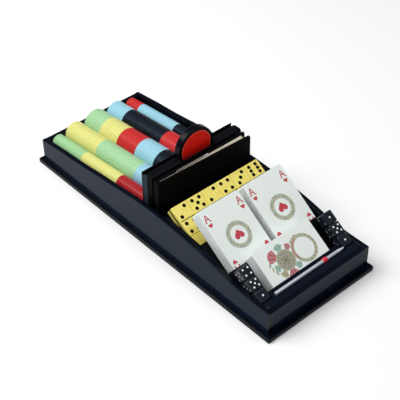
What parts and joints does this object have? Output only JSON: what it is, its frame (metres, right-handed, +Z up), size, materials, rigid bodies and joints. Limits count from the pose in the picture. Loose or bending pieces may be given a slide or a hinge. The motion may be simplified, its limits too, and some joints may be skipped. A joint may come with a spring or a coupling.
{
  "type": "game box",
  "caption": "Open wedge-sided black game box holding rows of chips, a dealer button, a score book, dominoes, card decks, dice and a pencil, each of which lifts out.",
  "frame": {"origin": "centre of the base plate's underside, on the plane that the box stands on", "axes": "+Z up, +X across the box's width to the right as seen from the pencil ledge, +Y along its length from the pencil ledge to the chip rows"},
  "size_m": [0.167, 0.4226, 0.1245],
  "materials": {
    "gloss_black_panel": "high gloss lacquer",
    "satin_black_insert": "satin",
    "dark_metal": "dark polished",
    "chip_green": "satin",
    "chip_light_green": "satin",
    "chip_yellow": "satin",
    "chip_red": "satin",
    "chip_light_blue": "satin",
    "chip_black": "satin",
    "button_black": "gloss",
    "button_red": "gloss",
    "book_cover_black": "smooth coated board",
    "paper_ivory": "uncoated",
    "paper_white": "uncoated",
    "domino_two_tone": "polished, yellow face on black backing",
    "card_stock": "coated",
    "die_black": "polished, white pips",
    "pencil_silver": "satin",
    "pencil_lead": "satin",
    "pencil_red": "gloss"
  },
  "bodies": {
    "box": {"base_plate": "gloss_black_panel", "book_slot_liner": "satin_black_insert", "button_holder": "satin_black_insert", "chip_tray": "satin_black_insert", "deck_bed": "satin_black_insert", "dice_ramps": "satin_black_insert", "domino_bed": "satin_black_insert", "front_shelf": "satin_black_insert", "front_wall": "gloss_black_panel", "left_wall": "gloss_black_panel", "locating_stud": "dark_metal", "pencil_ledge": "gloss_black_panel", "rear_wall": "gloss_black_panel", "right_wall": "gloss_black_panel", "slot_rear_panel": "satin_black_insert", "dominoes_lower_layer": "domino_two_tone", "dominoes_crosswise": "domino_two_tone"},
    "chip_row_1": {"chips_row_1_green": "chip_green", "chips_row_1_red": "chip_red", "chips_row_1_yellow": "chip_yellow"},
    "chip_row_2": {"chips_row_2_light_blue": "chip_light_blue", "chips_row_2_light_green": "chip_light_green", "chips_row_2_yellow": "chip_yellow"},
    "chip_row_3": {"chips_row_3_black": "chip_black", "chips_row_3_light_blue": "chip_light_blue", "chips_row_3_light_green": "chip_light_green", "chips_row_3_red": "chip_red", "chips_row_3_yellow": "chip_yellow"},
    "chip_row_4": {"chips_row_4_black": "chip_black", "chips_row_4_light_blue": "chip_light_blue", "chips_row_4_red": "chip_red"},
    "chip_row_5": {"chips_row_5_black": "chip_black", "chips_row_5_light_blue": "chip_light_blue", "chips_row_5_red": "chip_red"},
    "dealer_button": {"button_rim": "button_black", "button_faces": "button_red"},
    "score_book": {"book_spine": "book_cover_black", "book_back_cover": "book_cover_black", "book_pages": "paper_ivory", "book_leaflet": "paper_white"},
    "book_cover": {"book_front_cover": "book_cover_black"},
    "domino_1": {"domino_1": "domino_two_tone"},
    "domino_2": {"domino_2": "domino_two_tone"},
    "domino_3": {"domino_3": "domino_two_tone"},
    "domino_4": {"domino_4": "domino_two_tone"},
    "domino_5": {"domino_5": "domino_two_tone"},
    "domino_6": {"domino_6": "domino_two_tone"},
    "deck_left": {"card_deck_left": "card_stock"},
    "deck_right": {"card_deck_right": "card_stock"},
    "deck_front": {"card_deck_front": "card_stock"},
    "die_left_1": {"die_left_1": "die_black"},
    "die_left_2": {"die_left_2": "die_black"},
    "die_left_3": {"die_left_3": "die_black"},
    "die_right_1": {"die_right_1": "die_black"},
    "die_right_2": {"die_right_2": "die_black"},
    "die_right_3": {"die_right_3": "die_black"},
    "pencil": {"pencil_barrel": "pencil_silver", "pencil_tip": "pencil_lead", "pencil_ring": "pencil_red"}
  },
  "joints": [
    {"name": "chip_row_1_lift", "type": "slide", "parent": "box", "child": "chip_row_1", "axis": [0, 0, 1], "range_m": [0, 0.06]},
    {"name": "chip_row_2_lift", "type": "slide", "parent": "box", "child": "chip_row_2", "axis": [0, 0, 1], "range_m": [0, 0.06]},
    {"name": "chip_row_3_lift", "type": "slide", "parent": "box", "child": "chip_row_3", "axis": [0, 0, 1], "range_m": [0, 0.06]},
    {"name": "chip_row_4_lift", "type": "slide", "parent": "box", "child": "chip_row_4", "axis": [0, 0, 1], "range_m": [0, 0.06]},
    {"name": "chip_row_5_lift", "type": "slide", "parent": "box", "child": "chip_row_5", "axis": [0, 0, 1], "range_m": [0, 0.06]},
    {"name": "dealer_button_lift", "type": "slide", "parent": "box", "child": "dealer_button", "axis": [0, 0, 1], "range_m": [0, 0.07]},
    {"name": "score_book_lift", "type": "slide", "parent": "box", "child": "score_book", "axis": [0, 0, 1], "range_m": [0, 0.09]},
    {"name": "book_cover_hinge", "type": "hinge", "parent": "score_book", "child": "book_cover", "pos_m": [-0.06545, -0.01495, 0.0504], "axis": [0, 0, -1], "range_deg": [0, 1.6]},
    {"name": "domino_1_lift", "type": "slide", "parent": "box", "child": "domino_1", "axis": [0, 0, 1], "range_m": [0, 0.018]},
    {"name": "domino_2_lift", "type": "slide", "parent": "box", "child": "domino_2", "axis": [0, 0, 1], "range_m": [0, 0.018]},
    {"name": "domino_3_lift", "type": "slide", "parent": "box", "child": "domino_3", "axis": [0, 0, 1], "range_m": [0, 0.018]},
    {"name": "domino_4_lift", "type": "slide", "parent": "box", "child": "domino_4", "axis": [0, 0, 1], "range_m": [0, 0.018]},
    {"name": "domino_5_lift", "type": "slide", "parent": "box", "child": "domino_5", "axis": [0, 0, 1], "range_m": [0, 0.018]},
    {"name": "domino_6_lift", "type": "slide", "parent": "box", "child": "domino_6", "axis": [0, 0, 1], "range_m": [0, 0.018]},
    {"name": "deck_left_slide", "type": "slide", "parent": "box", "child": "deck_left", "axis": [0, 0.8141, 0.5807], "range_m": [0, 0.045]},
    {"name": "deck_right_slide", "type": "slide", "parent": "box", "child": "deck_right", "axis": [0, 0.8141, 0.5807], "range_m": [0, 0.045]},
    {"name": "deck_front_slide", "type": "slide", "parent": "box", "child": "deck_front", "axis": [0, 0.829, 0.5592], "range_m": [0, 0.055]},
    {"name": "die_left_1_lift", "type": "slide", "parent": "box", "child": "die_left_1", "axis": [0, -0.5563, 0.831], "range_m": [0, 0.03]},
    {"name": "die_left_2_lift", "type": "slide", "parent": "box", "child": "die_left_2", "axis": [0, -0.5563, 0.831], "range_m": [0, 0.03]},
    {"name": "die_left_3_lift", "type": "slide", "parent": "box", "child": "die_left_3", "axis": [0, -0.5563, 0.831], "range_m": [0, 0.03]},
    {"name": "die_right_1_lift", "type": "slide", "parent": "box", "child": "die_right_1", "axis": [0, -0.5563, 0.831], "range_m": [0, 0.03]},
    {"name": "die_right_2_lift", "type": "slide", "parent": "box", "child": "die_right_2", "axis": [0, -0.5563, 0.831], "range_m": [0, 0.03]},
    {"name": "die_right_3_lift", "type": "slide", "parent": "box", "child": "die_right_3", "axis": [0, -0.5563, 0.831], "range_m": [0, 0.03]},
    {"name": "pencil_lift", "type": "slide", "parent": "box", "child": "pencil", "axis": [0, 0, 1], "range_m": [0, 0.04]}
  ]
}
